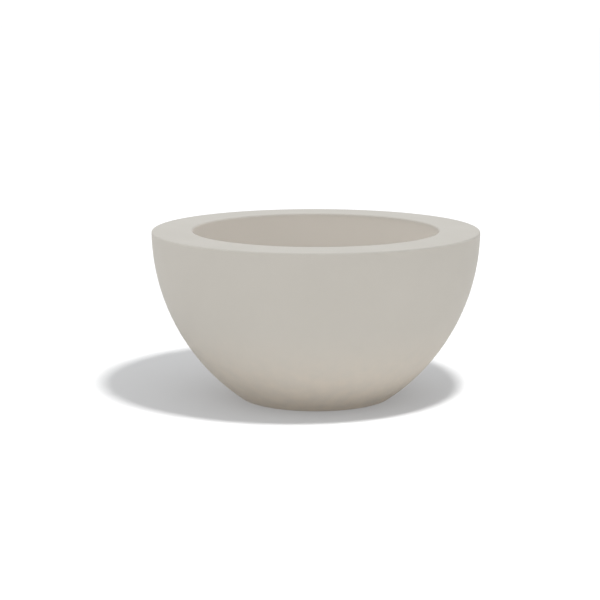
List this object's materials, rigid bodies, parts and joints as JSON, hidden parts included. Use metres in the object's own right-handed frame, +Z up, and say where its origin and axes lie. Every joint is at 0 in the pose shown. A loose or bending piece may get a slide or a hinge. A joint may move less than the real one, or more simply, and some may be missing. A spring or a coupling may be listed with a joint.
{
  "type": "bowl planter",
  "caption": "Round bowl planter with a wide flat rim, a curved hollow wall, a small recessed foot and a drain closed by a lift-out stopper.",
  "frame": {"origin": "centre of the footprint, on the floor under the foot pads", "axes": "+Z up along the bowl's axis; +Y points away from the viewer of the picture, +X to the right"},
  "size_m": [0.9147, 0.9148, 0.474],
  "materials": {
    "greige_laminate": "matt sprayed coat on moulded laminate",
    "core_board": "bare board",
    "bonding_paste": "cured paste",
    "dark_fitting": "moulded",
    "black_rubber": "moulded"
  },
  "bodies": {
    "planter": {"outer_shell": "greige_laminate", "inner_bowl": "greige_laminate", "rim_core": "core_board", "base_core": "core_board", "seam_adhesive": "bonding_paste", "drain_body": "dark_fitting", "drain_gasket": "black_rubber", "drain_washer": "dark_fitting", "drain_nut": "dark_fitting", "foot_pad_1": "black_rubber", "foot_pad_2": "black_rubber", "foot_pad_3": "black_rubber", "foot_pad_4": "black_rubber"},
    "plug": {"drain_plug": "black_rubber"}
  },
  "joints": [
    {"name": "plug_lift", "type": "slide", "parent": "planter", "child": "plug", "axis": [0, 0, 1], "range_m": [0, 0.45]}
  ]
}
